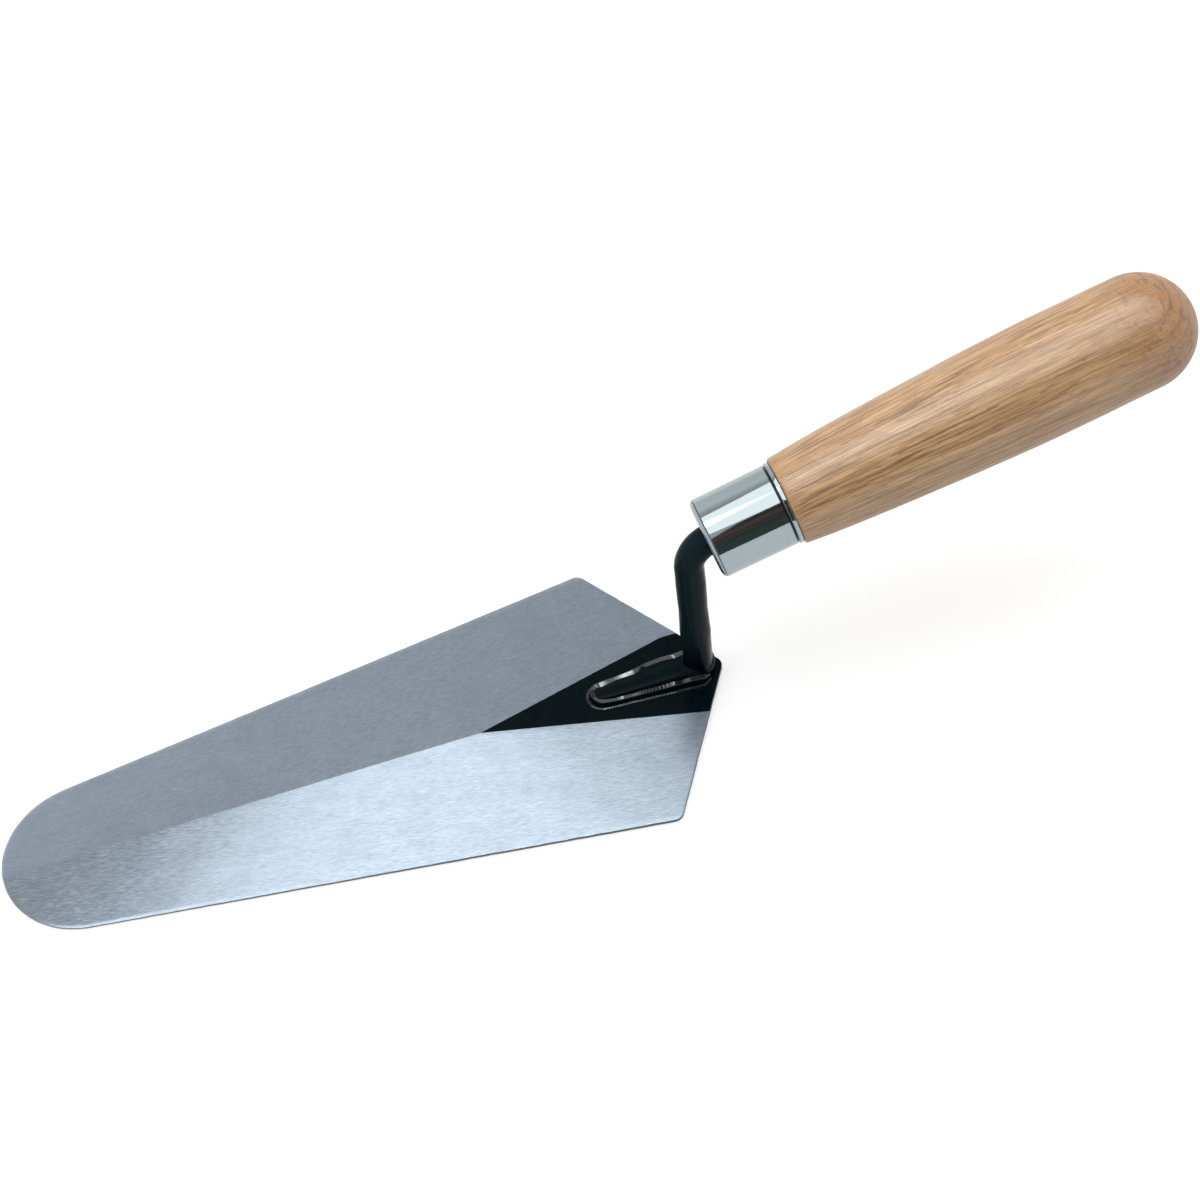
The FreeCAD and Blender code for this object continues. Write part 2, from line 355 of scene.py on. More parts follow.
def makeSky():
    # dimmer overhead and to the right, with a white horizon all round
    world = bpy.data.worlds.new("studio")
    scene.world = world
    world.use_nodes = True
    tree = world.node_tree
    parts = splitAxes(tree.nodes.new("ShaderNodeTexCoord").outputs["Generated"])
    level = remap(parts[2], *studio["skyHeights"], *studio["skyLevels"])
    side = remap(parts[0], *studio["skyMiddle"], *studio["skySides"])
    low = remap(parts[2], 0.0, studio["horizonTop"], 1.0, 0.0)
    # the horizon and the front are seen at their full level, and give less light to the shaded sides
    seen = seenRays(tree)
    horizon = mixValue(seen, studio["horizonFill"], studio["horizon"])
    level = mixValue(low, times(level, side), horizon)
    fill = remap(parts[1], *studio["frontSpan"], studio["frontFill"], 1.0)
    level = times(level, mixValue(seen, fill, 1.0))
    feed(tree.nodes["Background"], {"Color": (1.0, 1.0, 1.0, 1.0), "Strength": level})


makeCamera()
makeFloor()
makeFlag()
makeLamps()
makeSky()
scene.view_settings.view_transform = "Standard"
print("camera, floor and light ready")


# finishes, with the line that the handle and the ferrule are turned about

handleAxis = {"lift": 15.3, "lean": 2.3, "bendHeight": 52.6 * mm}


def axisPlacing():
    lift = math.radians(handleAxis["lift"])
    height = handleAxis["bendHeight"]
    start = np.array([-height * math.tan(math.radians(handleAxis["lean"])), 0.0, height])
    along = np.array([math.cos(lift), 0.0, math.sin(lift)])
    upward = np.array([-math.sin(lift), 0.0, math.cos(lift)])
    return start, along, upward


def alongHandle(where):
    # object coordinates turned so that X runs along the handle from the bend, as three numbers
    start, along, upward = axisPlacing()
    moved = addNode("ShaderNodeVectorMath", {0: where, 1: tuple(start)}, operation="SUBTRACT")
    return [addNode("ShaderNodeVectorMath", {0: moved.outputs[0], 1: tuple(axis)},
                    operation="DOT_PRODUCT").outputs["Value"]
            for axis in (along, sideways, upward)]


# paintedSheen is a lighter colour painted on the upper shank in place of the light it catches
lacquer = {"colour": (0.0004, 0.0025, 0.004), "sheen": (0.002, 0.007, 0.010), "dust": (0.004, 0.009, 0.013),
           "paintedSheen": (0.008, 0.018, 0.022), "paintedSheenFade": (7.0 * mm, 20.0 * mm),
           "cloudSize": 2.4 * mm, "roughness": 0.14, "uneven": 0.06, "skin": 0.014 * mm,
           "tangShine": 0.045, "weldShine": 0.5, "weldRoughness": 0.08}


def lacquerLook(where, roughness):
    # colour, roughness and height of black lacquer over forged steel
    skin = place(mottle, Vector=where, Size=lacquer["cloudSize"])
    colour = mixColour(skin["Cloud"], lacquer["colour"], lacquer["sheen"])
    colour = mixColour(remap(skin["Grain"], 0.5, 0.72), colour, lacquer["dust"])
    rough = remap(skin["Cloud"], 0.3, 0.7, roughness, roughness + lacquer["uneven"])
    height = plus(skin["Cloud"], times(skin["Grain"], 0.25))
    return colour, rough, height


def makeLacquer(name, shine, roughness):
    material, shader, where = newMaterial(name)
    colour, rough, height = lacquerLook(where, roughness)
    # painted sheen: the base colour lightens up the shank, standing in for the light that the upright shank
    # catches
    paintedSheen = remap(splitAxes(where)[2], *lacquer["paintedSheenFade"])
    feed(shader, {"Base Color": mixColour(paintedSheen, colour, lacquer["paintedSheen"]),
                  "Roughness": rough, "Specular IOR Level": shine})
    bumpInto(shader, height, lacquer["skin"])
    return material


steel = {"colour": (0.435, 0.506, 0.59), "dull": (0.235, 0.288, 0.342), "roughness": 0.137,
         "grindAngle": 9.0, "grinding": (2.3 * mm, 0.28 * mm, 0.2),
         "halfShift": 0.31, "calmFar": 0.55, "ridgeBlend": 1.0 * mm, "cloudSize": 9.0 * mm,
         "cloudShare": 0.2, "pitCell": 14.0 * mm, "pitRadius": 0.035, "pitShare": 0.25,
         "pit": (0.05, 0.05, 0.055), "heelFade": (-55.0 * mm, 5.0 * mm), "heelRoughness": 0.22,
         "edge": (0.12, 0.12, 0.13), "edgeRoughness": 0.2, "lacquerSlope": 0.2465,
         "lacquerStart": -63.0 * mm, "lacquerSoft": 0.12 * mm, "lacquerRagged": 0.35 * mm,
         "lacquerFlat": 13.9 * mm, "lacquerFade": (0.2 * mm, 0.5 * mm),
         "lacquerShine": 0.045, "grindDepth": 0.1, "bump": 0.03 * mm}


def grindLines(parts, across):
    # coordinates along and across the grinding lines, which lean the same way out from the middle on
    # both halves of the blade
    turn = math.radians(steel["grindAngle"])
    along = plus(times(parts[0], math.cos(turn)), times(across, math.sin(turn)))
    beside = minus(times(across, math.cos(turn)), times(parts[0], math.sin(turn)))
    half = times(calc("SIGN", parts[1]), steel["halfShift"])
    return joinAxes(along, beside, half)


def lacquerWedge(parts, across, ragged):
    # 1 on the unground wedge in front of the heel: its half width grows from its tip, and on the far side
    # it stops short and runs straight to the heel
    reach = times(minus(parts[0], steel["lacquerStart"]), steel["lacquerSlope"])
    limit = remap(parts[1], 0.0, steel["ridgeBlend"], 1.0, steel["lacquerFlat"])
    inside = minus(calc("MINIMUM", reach, limit), across)
    painted = remap(plus(inside, ragged), -steel["lacquerSoft"], steel["lacquerSoft"])
    topSide = remap(parts[2], *steel["lacquerFade"])
    return times(painted, topSide)


def makeSteel():
    material, shader, where = newMaterial("groundSteel")
    parts = splitAxes(where)
    across = calc("ABSOLUTE", parts[1])
    blend = steel["ridgeBlend"]
    lines = drawLines(grindLines(parts, across), *steel["grinding"])
    cloud = place(mottle, Vector=where, Size=steel["cloudSize"])["Cloud"]
    pits = place(specks, Vector=where, Cell=steel["pitCell"], Radius=steel["pitRadius"],
                 Share=steel["pitShare"])["Mask"]
    # the lines are calmer on the far half
    calm = remap(parts[1], -blend, blend, 1.0, steel["calmFar"])
    spread = minus(remap(lines["Both"], 0.3, 0.7, smooth=False), 0.5)
    share = plus(times(spread, calm), 0.5)
    colour = mixColour(share, steel["dull"], steel["colour"])
    clouds = remap(cloud, 0.35, 0.75, 0.0, steel["cloudShare"])
    colour = mixColour(clouds, colour, steel["dull"])
    colour = mixColour(pits, colour, steel["pit"])
    rough = remap(lines["Fine"], 0.3, 0.7, steel["roughness"] - 0.015, steel["roughness"] + 0.02)
    # the near half is ground more coarsely towards the heel
    heel = remap(parts[0], *steel["heelFade"], 0.0, steel["heelRoughness"], smooth=False)
    heel = times(heel, remap(parts[1], -blend, blend, 1.0, 0.0))
    rough = plus(rough, heel)
    border = shader.id_data.nodes.new("ShaderNodeAttribute")
    border.attribute_name = "edge"
    edge = border.outputs["Fac"]
    colour = mixColour(edge, colour, steel["edge"])
    rough = plus(rough, times(edge, steel["edgeRoughness"]))
    ragged = times(minus(lines["Fine"], 0.5), steel["lacquerRagged"])
    painted = lacquerWedge(parts, across, ragged)
    black, blackRough, skin = lacquerLook(where, lacquer["roughness"])
    feed(shader, {"Base Color": mixColour(painted, colour, black),
                  "Roughness": mixValue(painted, rough, blackRough),
                  "Metallic": minus(1.0, painted),
                  "Specular IOR Level": steel["lacquerShine"]})
    height = times(lines["Both"], steel["grindDepth"])
    bumpInto(shader, mixValue(painted, height, skin), steel["bump"])
    return material


# paintedShade is a dark colour painted into the groove and the crease, where shade falls
plating = {"colour": (0.35, 0.405, 0.425), "cloudSize": 6.0 * mm, "cloudy": 0.94, "roughness": 0.06,
           "drawing": (9.0 * mm, 0.5 * mm, 0.5), "drawDepth": 0.004 * mm,
           "paintedShade": (0.05, 0.055, 0.055), "grooveShade": (0.55 * mm, 0.95), "creaseShade": (0.24 * mm, 0.85)}


def makePlating():
    material, shader, where = newMaterial("brightPlating")
    turned = alongHandle(where)
    lines = drawLines(joinAxes(*turned), *plating["drawing"])["Both"]
    cloud = place(mottle, Vector=where, Size=plating["cloudSize"])["Cloud"]
    duller = tuple(c * plating["cloudy"] for c in plating["colour"])
    colour = mixColour(cloud, plating["colour"], duller)
    # painted shade darkens the rolled groove and the crease behind the shoulder
    groove = ferrule["start"] + ferrule["length"] - ferrule["lip"] - ferrule["groove"] * 0.5
    crease = ferrule["start"] + ferrule["shoulder"] + 0.1 * mm
    for spot, (reach, depth) in ((groove, plating["grooveShade"]), (crease, plating["creaseShade"])):
        away = calc("ABSOLUTE", minus(turned[0], spot))
        colour = mixColour(remap(away, reach * 0.4, reach, depth, 0.0), colour, plating["paintedShade"])
    rough = remap(lines, 0.3, 0.7, plating["roughness"] - 0.02, plating["roughness"] + 0.04)
    feed(shader, {"Base Color": colour, "Metallic": 1.0, "Roughness": rough})
    bumpInto(shader, lines, plating["drawDepth"])
    return material


wood = {"light": (0.73, 0.465, 0.24), "dark": (0.425, 0.232, 0.102), "brown": (0.205, 0.09, 0.04),
        "neck": (0.55, 0.27, 0.1), "end": (0.455, 0.2, 0.072),
        "pithAway": 21.0 * mm, "pithLean": 0.07, "ringPitch": 2.3 * mm, "ringWarp": 2.2, "lateShare": 0.3,
        "taper": 0.285, "taperReach": 72.0 * mm, "fibres": (16.0 * mm, 0.44 * mm, 0.1),
        "veins": (24.0 * mm, 0.8 * mm, 0.0), "veinShare": 0.72,
        "pores": (5.0 * mm, 0.34 * mm, 0.0), "poreShare": 0.55,
        "rimFrom": 0.9 * mm, "rimTo": 3.6 * mm, "rimShare": 0.5, "rimWaver": 1.2 * mm,
        "endFrom": 91.0 * mm, "endTo": 113.0 * mm, "endShare": 0.75, "endWaver": 16.0 * mm,
        "ringShare": 0.45, "checkShare": 0.7, "checkScale": (650.0, 170.0, 420.0), "checkDepth": 1.2,
        "roughness": 0.55, "specular": 0.1, "coat": 0.4, "coatRoughness": 0.28, "coatIor": 2.4,
        "bump": 0.06 * mm}


def woodRings(turned):
    # the place within a growth ring, 0 to 1, round a pith outside the handle and slightly out of line with it
    warp = noise(joinAxes(*turned), 22.0, 2.0, 0.5)
    pith = plus(times(turned[0], wood["pithLean"]), wood["pithAway"])
    off = plus(turned[2], pith)
    away = calc("SQRT", plus(calc("POWER", off, 2.0), calc("POWER", turned[1], 2.0)))
    ring = plus(times(away, 1.0 / wood["ringPitch"]), times(warp, wood["ringWarp"]))
    return calc("FRACT", ring)


def woodFibres(turned, neckAt):
    # fibres, veins and pores, which follow the taper: across the axis they spread as the handle grows from
    # neck to belly
    short = remap(turned[0], neckAt, neckAt + wood["taperReach"], 1.0, 0.0, smooth=False)
    grow = plus(times(calc("POWER", short, 2.0), wood["taper"]), 1.0)
    lain = joinAxes(turned[0], times(turned[1], grow), times(turned[2], grow))
    fibres = drawLines(lain, *wood["fibres"])["Both"]
    veins, pores = (drawLines(lain, *wood[kind])["Fine"] for kind in ("veins", "pores"))
    return fibres, remap(veins, 0.54, 0.60), remap(pores, 0.58, 0.66)


def woodEnd(turned, wave, swirl):
    # darker swirled end grain with thin rings and small checks, and the mask of the checks
    tone = mixColour(remap(swirl, 0.35, 0.65), wood["end"], wood["dark"])
    ringLine = times(remap(wave, 0.68, 0.86), remap(wave, 0.9, 1.0, 1.0, 0.0))
    tone = stain(tone, ringLine, wood["ringShare"], wood["brown"])
    crossed = stretch(joinAxes(*turned), wood["checkScale"])
    checks = remap(noise(crossed, 1.0, 3.0, 0.6, 0.7), 0.54, 0.60)
    return stain(tone, checks, wood["checkShare"], wood["brown"]), checks


def makeWood():
    material, shader, where = newMaterial("varnishedWood")
    turned = alongHandle(where)
    neckAt = ferrule["start"] + ferrule["length"]
    wave = woodRings(turned)
    fibres, veins, pores = woodFibres(turned, neckAt)
    belt = noise(joinAxes(*turned), 45.0, 2.0, 0.5)
    veins = times(veins, remap(belt, 0.35, 0.65, 0.35, 1.0))
    tone = mixColour(remap(fibres, 0.35, 0.65), wood["dark"], wood["light"])
    tone = stain(tone, remap(wave, 0.35, 1.0), wood["lateShare"], wood["dark"])
    tone = stain(tone, veins, wood["veinShare"], wood["brown"])
    tone = stain(tone, pores, wood["poreShare"], wood["brown"])
    # a darker, redder rim on the wood next to the ferrule
    waver = times(belt, wood["rimWaver"])
    rim = remap(plus(turned[0], waver), neckAt + wood["rimFrom"],
                neckAt + wood["rimTo"], wood["rimShare"], 0.0)
    tone = mixColour(rim, tone, wood["neck"])
    swirl = noise(where, 170.0, 3.0, 0.6, 2.2)
    waver = times(swirl, wood["endWaver"])
    endMask = remap(plus(turned[0], waver), neckAt + wood["endFrom"], neckAt + wood["endTo"])
    endTone, checks = woodEnd(turned, wave, swirl)
    feed(shader, {"Base Color": stain(tone, endMask, wood["endShare"], endTone),
                  "Roughness": wood["roughness"], "Specular IOR Level": wood["specular"],
                  "Coat Weight": wood["coat"], "Coat Roughness": wood["coatRoughness"],
                  "Coat IOR": wood["coatIor"]})
    height = fibres
    checks = times(checks, endMask)
    for mask, depth in ((pores, 0.5), (veins, 0.35), (checks, wood["checkDepth"])):
        height = minus(height, times(mask, depth))
    bumpInto(shader, height, wood["bump"])
    return material


def closeSeams(piece):
    work = bmesh.new()
    work.from_mesh(piece.data)
    bmesh.ops.remove_doubles(work, verts=work.verts, dist=1e-7)
    bmesh.ops.recalc_face_normals(work, faces=work.faces)
    work.to_mesh(piece.data)
    work.free()


def dress(piece, node):
    # every piece is closed, rides the one body and stands for its node
    closeSeams(piece)
    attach(piece, "root")
    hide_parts(node)


# blade

blade = {"noseRadius": 22.9 * mm, "cornerRadius": 3.0 * mm, "heelRadius": 2.8 * mm, "heelDepth": 27.8 * mm,
         "heelSetback": 7.0 * mm, "width": 89.0 * mm, "thickness": 2.0 * mm, "noseThickness": 1.06 * mm,
         "cornerThickness": 1.0 * mm, "ridgeEnd": 70.0 * mm, "length": 200.0 * mm,
         "ridgeSoft": 0.12 * mm, "rimSoft": 0.22 * mm, "rimWear": 0.1 * mm, "flatness": 0.012 * mm,
         "noseSteps": 70, "cornerSteps": 14, "heelSteps": 12, "sideSteps": 150, "backSteps": 60,
         "wedgeRows": 8, "topRows": 26, "underRows": 16, "rimRows": 4, "wedgeLeast": 0.35 * mm,
         "wedgeMost": 0.93, "heelInset": 4.0 * mm, "wearFrom": 6.0 * mm}


def bladeTop(x, y):
    # the full thickness less what grinding took off, which grows towards the sides and towards the nose
    ridgeX = blade["heelSetback"] - blade["ridgeEnd"]
    noseFall = (blade["thickness"] - blade["noseThickness"]) / (blade["length"] - blade["ridgeEnd"])
    cornerFall = blade["thickness"] - blade["cornerThickness"]
    cornerFall = cornerFall + noseFall * (blade["ridgeEnd"] - blade["heelDepth"])
    sideFall = cornerFall / (blade["width"] / 2.0)
    soft = blade["ridgeSoft"]
    away = np.sqrt(y * y + soft * soft) - soft
    fall = sideFall * away + noseFall * (ridgeX - x)
    blend = sideFall * soft
    ground = 0.5 * (fall + np.sqrt(fall * fall + blend * blend))
    long, wide = waves(3, 5, 18 * mm, 60 * mm), waves(4, 5, 14 * mm, 40 * mm)
    return blade["thickness"] - ground - blade["flatness"] * long(x + 0.6 * y) * wide(y - 0.2 * x)


def bladeHalfOutline():
    # the +Y half of the outline from nose to heel: three arcs joined by straight lines, with outward angles
    heelX = blade["heelSetback"]
    corner = np.array([heelX - blade["heelDepth"], blade["width"] / 2.0])
    noseCentre = np.array([heelX - blade["length"] + blade["noseRadius"], 0.0])
    reach = corner - noseCentre
    sideAngle = math.atan2(reach[1], reach[0]) + math.acos(blade["noseRadius"] / np.hypot(*reach))
    heelAngle = math.atan2(blade["heelDepth"], blade["width"] / 2.0)
    sideNormal = np.array([math.cos(sideAngle), math.sin(sideAngle)])
    heelNormal = np.array([math.cos(heelAngle), math.sin(heelAngle)])
    inset = np.linalg.solve(np.array([sideNormal, heelNormal]), -np.ones(2) * blade["cornerRadius"])
    heelCentre = np.array([heelX - blade["heelRadius"] / math.cos(heelAngle), 0.0])
    arcs = [(noseCentre, blade["noseRadius"], math.pi, sideAngle, blade["noseSteps"]),
            (corner + inset, blade["cornerRadius"], sideAngle, heelAngle, blade["cornerSteps"]),
            (heelCentre, blade["heelRadius"], heelAngle, 0.0, blade["heelSteps"])]
    bends = []
    for centre, radius, first, last, count in arcs:
        angle = np.linspace(first, last, count)
        bends.append(np.column_stack([centre[0] + radius * np.cos(angle),
                                      centre[1] + radius * np.sin(angle), angle]))
    side = np.linspace(bends[0][-1], bends[1][0], blade["sideSteps"])[1:-1]
    heel = np.linspace(bends[1][-1], bends[2][0], blade["backSteps"])[1:-1]
    return np.concatenate([bends[0], side, bends[1], heel, bends[2]])


def makeBlade():
    # a closed skin of rows: from the middle line out over the top, round the rim and back in underneath
    half = bladeHalfOutline()
    outline = np.concatenate([half, half[-2:0:-1] * (1.0, -1.0, -1.0)])
    border, angle = outline[:, :2], outline[:, 2]
    outward = np.column_stack([np.cos(angle), np.sin(angle)])
    length = np.concatenate([[0.0], np.cumsum(np.hypot(*np.diff(border, axis=0).T))])
    wear = blade["rimWear"] * (0.5 + 0.25 * waves(11, 9, 4 * mm, 26 * mm)(length))
    wear = wear * smoothStep(0, blade["wearFrom"], length)
    soft = blade["rimSoft"]

    def loop(inset, z):
        spot = border - outward * (wear + inset)[:, None]
        return np.column_stack([spot, z * np.ones(len(spot))])
    inner = loop(soft, 0.0)[:, :2]
    front, back = border[:, 0].min() + blade["noseRadius"], border[:, 0].max() - blade["heelInset"]
    middleX = np.clip(inner[:, 0], front, back)
    # the first rows end at the lacquered wedge, so that its edge runs along a row
    wedge = np.maximum(blade["wedgeLeast"], steel["lacquerSlope"] * (middleX - steel["lacquerStart"]))
    wedgeShare = np.clip(wedge / np.maximum(np.abs(inner[:, 1]), 1e-9), 0.0, blade["wedgeMost"])
    shares = [wedgeShare * row / blade["wedgeRows"] for row in range(blade["wedgeRows"] + 1)]
    shares += [wedgeShare + (1.0 - wedgeShare) * row / blade["topRows"]
               for row in range(1, blade["topRows"] + 1)]
    rows, edge = [], []
    for share in shares:
        x, y = middleX + (inner[:, 0] - middleX) * share, inner[:, 1] * share
        rows.append(np.column_stack([x, y, bladeTop(x, y)]))
        edge.append(0.0)
    rimTop = bladeTop(inner[:, 0], inner[:, 1])
    for step in np.linspace(0.25, 1.0, blade["rimRows"]) * (math.pi / 2):
        rows.append(loop(soft * (1 - math.sin(step)), rimTop - soft * (1 - math.cos(step))))
        edge.append(1.0 if step > 0.8 else 0.4)
    for step in np.linspace(0.0, 1.0, blade["rimRows"]) * (math.pi / 2):
        rows.append(loop(soft * (1 - math.cos(step)), soft * (1 - math.sin(step))))
        edge.append(1.0)
    for share in np.linspace(1.0, 0.0, blade["underRows"])[1:]:
        x = middleX + (inner[:, 0] - middleX) * share
        rows.append(np.column_stack([x, inner[:, 1] * share, np.zeros(len(x))]))
        edge.append(0.0)
    grid = np.array(rows)
    faces = stripFaces(*grid.shape[:2])[:, ::-1]
    marks = np.repeat(np.array(edge)[:, None], grid.shape[1], 1)
    piece = makePiece("blade_plate", grid, faces, groundSteel, marks)
    dress(piece, "blade")


# tang: a foot, a shank, a bend and a spike, melted into one forging

tang = {"diameter": 8.0 * mm, "bendRadius": 9.0 * mm, "base": 1.8 * mm, "neckEnd": 7.66 * mm,
        "spike": 72.0 * mm, "spikeTip": 4.5 * mm, "flare": 0.45 * mm, "flareReach": 5.0 * mm,
        "facetFade": (8.0 * mm, 27.0 * mm), "facetPower": 0.65, "facetPull": 0.035,
        "cornerLow": 12.0, "cornerHigh": -30.0, "forging": 0.05 * mm, "voxel": 0.3 * mm,
        "footReach": 31.0 * mm, "tipRadius": 3.0 * mm, "rearRadius": 4.4 * mm, "tipHeight": 2.6 * mm,
        "rearHeight": 4.4 * mm, "dish": 0.15 * mm, "sunk": 0.15 * mm, "boxy": 7.0, "keel": 0.12,
        "rodStep": 0.4 * mm, "spikeSteps": 60, "rodColumns": 56, "tipSteps": 14, "footSteps": 42,
        "footColumns": 48, "relax": 0.5, "relaxTimes": 4}


def tangPath(distance):
    # straight up the leaning shank, round the bend at its radius, straight along the handle
    lean, lift = math.radians(handleAxis["lean"]), math.radians(handleAxis["lift"])
    first, turn = math.pi / 2 + lean, math.pi / 2 + lean - lift
    radius = tang["bendRadius"]
    trim = radius * math.tan(turn / 2)
    straight = (handleAxis["bendHeight"] - tang["base"]) / math.cos(lean) - trim
    start = np.array([-tang["base"] * math.tan(lean), 0.0, tang["base"]])
    angle = first - turn * np.clip((distance - straight) / (radius * turn), 0.0, 1.0)
    before = np.minimum(distance, straight)
    after = np.maximum(0.0, distance - straight - radius * turn)
    x = start[0] + before * math.cos(first) + radius * (math.sin(first) - np.sin(angle))
    z = start[2] + before * math.sin(first) + radius * (np.cos(angle) - math.cos(first))
    x, z = x + after * math.cos(lift), z + after * math.sin(lift)
    neck = straight + radius * turn + tang["neckEnd"] - trim
    return np.column_stack([x, np.zeros(len(x)), z]), angle, neck


def makeRod():
    # a ring carried along the path: its radius is that of a rounded square low on the shank, whose corners
    # fade into a circle further up and twist as they go, and it tapers along the spike
    _, _, neck = tangPath(np.zeros(1))
    distance = np.append(np.arange(0.0, neck, tang["rodStep"]),
                         np.linspace(neck, neck + tang["spike"], tang["spikeSteps"]))
    centre, angle, _ = tangPath(distance)
    around = ringAngles(tang["rodColumns"])
    height = distance[:, None]
    facet = 1.0 - smoothStep(*tang["facetFade"], height)
    corner = np.radians(tang["cornerHigh"] + (tang["cornerLow"] - tang["cornerHigh"]) * facet - 90.0)
    turned = around[None, :] - corner + math.pi / 4
    power = 2.0 + tang["facetPower"] * facet
    square = (np.abs(np.cos(turned)) ** power + np.abs(np.sin(turned)) ** power) ** (-1.0 / power)
    radius = tang["diameter"] / 2 * np.ones_like(height)
    spike = np.clip((height - neck) / tang["spike"], 0.0, 1.0)
    radius = radius + (tang["spikeTip"] / 2 - tang["diameter"] / 2) * spike
    radius = radius * (1.0 - tang["facetPull"] * facet)
    radius = radius + tang["flare"] * np.exp(-height / tang["flareReach"])
    uneven = waves(21, 6, 5 * mm, 24 * mm)(height) * np.cos(2 * around + 40.0 * height)
    radius = radius * square + tang["forging"] * uneven * (height < neck)
    inward = np.column_stack([np.sin(angle), np.zeros(len(angle)), -np.cos(angle)])
    rings = carryRound(centre[:, None], radius, around, inward[:, None], sideways)
    return tubePoints(rings), tubeFaces(*radius.shape)


def footWidth(x):
    # half width of the tongue: a circle at its tip, a straight taper, a circle at its rear
    tipCentre = -tang["footReach"] + tang["tipRadius"]
    tip = np.sqrt(np.maximum(0.0, tang["tipRadius"] ** 2 - (x - tipCentre) ** 2))
    rear = np.sqrt(np.maximum(0.0, tang["rearRadius"] ** 2 - x ** 2))
    spread = (tang["rearRadius"] - tang["tipRadius"]) / -tipCentre
    taper = (tang["rearRadius"] + spread * x) * math.sqrt(1.0 + spread ** 2)
    return np.where(x < tipCentre, tip, np.where(x > 0.0, rear, taper))


def footHeight(x):
    share = 1.0 + x / tang["footReach"]
    return tang["tipHeight"] + (tang["rearHeight"] - tang["tipHeight"]) * share


def makeFoot():
    # sections along X: a flat box with rounded upper corners, dished along the middle of its top
    swing = np.linspace(0.02, 0.5, tang["tipSteps"]) * math.pi
    front = -tang["footReach"] + tang["tipRadius"] * (1.0 - np.cos(swing))
    rear = tang["rearRadius"] * np.cos(swing[::-1])
    x = np.concatenate([front, np.linspace(front[-1], rear[0], tang["footSteps"])[1:-1], rear])[:, None]
    around = ringAngles(tang["footColumns"])[None, :]
    share = 2.0 / tang["boxy"]
    side = np.sign(np.cos(around)) * np.abs(np.cos(around)) ** share
    rise = np.abs(np.sin(around)) ** share
    rise = np.where(np.sin(around) > 0, rise, -rise * tang["keel"])
    y = footWidth(x) * side
    z = blade["thickness"] - tang["sunk"] + (footHeight(x) + tang["sunk"]) * rise
    z = z - tang["dish"] * (1.0 - side ** 2) * (rise > 0.5)
    rings = np.stack([x + 0.0 * y, y, z], -1)
    return tubePoints(rings), tubeFaces(*y.shape)


def makeTang():
    rodPoints, rodFaces = makeRod()
    footPoints, footFaces = makeFoot()
    points = np.concatenate([rodPoints, footPoints])
    faces = rodFaces + [[i + len(rodPoints) for i in f] for f in footFaces]
    piece = makePiece("forged_tang", points, faces, blackLacquer)
    melt = piece.modifiers.new("melt", "REMESH")
    melt.mode = "VOXEL"
    melt.voxel_size = tang["voxel"]
    melt.use_smooth_shade = True
    relax = piece.modifiers.new("relax", "SMOOTH")
    relax.factor, relax.iterations = tang["relax"], tang["relaxTimes"]
    dress(piece, "tang")


# weld beads: a rope along each side of the foot, from its tip to the shank

weld = {"toeTip": 1.5 * mm, "toeRear": 2.2 * mm, "ripplePitch": 0.95 * mm, "rippleAt": -15.0 * mm,
        "rippleReach": 3.5 * mm, "rippleLow": 0.04, "rearArc": 0.45, "tipBlend": (0.02, 0.14),
        "endBlend": (1.0, 0.93), "endToe": 0.35, "endTop": 0.6, "thinFrom": (0.42, 0.56),
        "thinTo": (0.78, 0.64), "lowerBy": 0.25, "rows": 320, "columns": 40, "underRows": 9,
        "tip": {"inside": 0.9 * mm, "crest": 0.15 * mm, "crown": 0.5, "wall": 0.78, "bury": 0.2, "dome": 0.16,
                "apron": 0.25}}
# the left run is smooth and leans back onto the foot; the right one is lumpy and lies low against its wall
weldSides = {
    "weld_bead_left": {
        "side": 1, "seed": 5, "lump": 0.03 * mm, "lumpShort": 6.0 * mm, "lumpLong": 18.0 * mm, "ripple": 0.0,
        "inside": 1.9 * mm, "share": 1.0, "crest": 0.2 * mm, "crown": 0.45, "wall": 0.76, "bury": 0.252,
        "dome": 0.0, "apron": 0.12, "uneven": 0.0, "thin": 0.5, "fade": 0.9},
    "weld_bead_right": {
        "side": -1, "seed": 8, "lump": 0.1 * mm, "lumpShort": 3.5 * mm, "lumpLong": 8.5 * mm,
        "ripple": 0.11 * mm, "inside": 0.9 * mm, "share": 0.62, "crest": 0.1 * mm, "crown": 0.66, "wall": 0.8,
        "bury": 0.0, "dome": 0.252, "apron": 0.252, "uneven": 0.15, "thin": 0.0, "fade": 0.0}}


def footEdge(share):
    # the foot's outline from the front of its tip round to its rear, as a place and an outward angle
    tipCentre = -tang["footReach"] + tang["tipRadius"]
    spread = math.asin((tang["rearRadius"] - tang["tipRadius"]) / -tipCentre)
    flat = math.pi / 2 + spread
    arcTip = tang["tipRadius"] * (math.pi - flat)
    run = -tipCentre * math.cos(spread)
    arcRear = tang["rearRadius"] * weld["rearArc"]
    distance = share * (arcTip + run + arcRear)
    onTip = np.minimum(distance, arcTip)
    onRun = np.clip(distance - arcTip, 0.0, run)
    onRear = np.maximum(0.0, distance - arcTip - run)
    angle = math.pi - onTip / tang["tipRadius"] - onRear / tang["rearRadius"]
    radius = tang["tipRadius"] + (tang["rearRadius"] - tang["tipRadius"]) * onRun / run
    centreX = tipCentre * (1.0 - onRun / run)
    return centreX + radius * np.cos(angle), radius * np.sin(angle), angle, distance


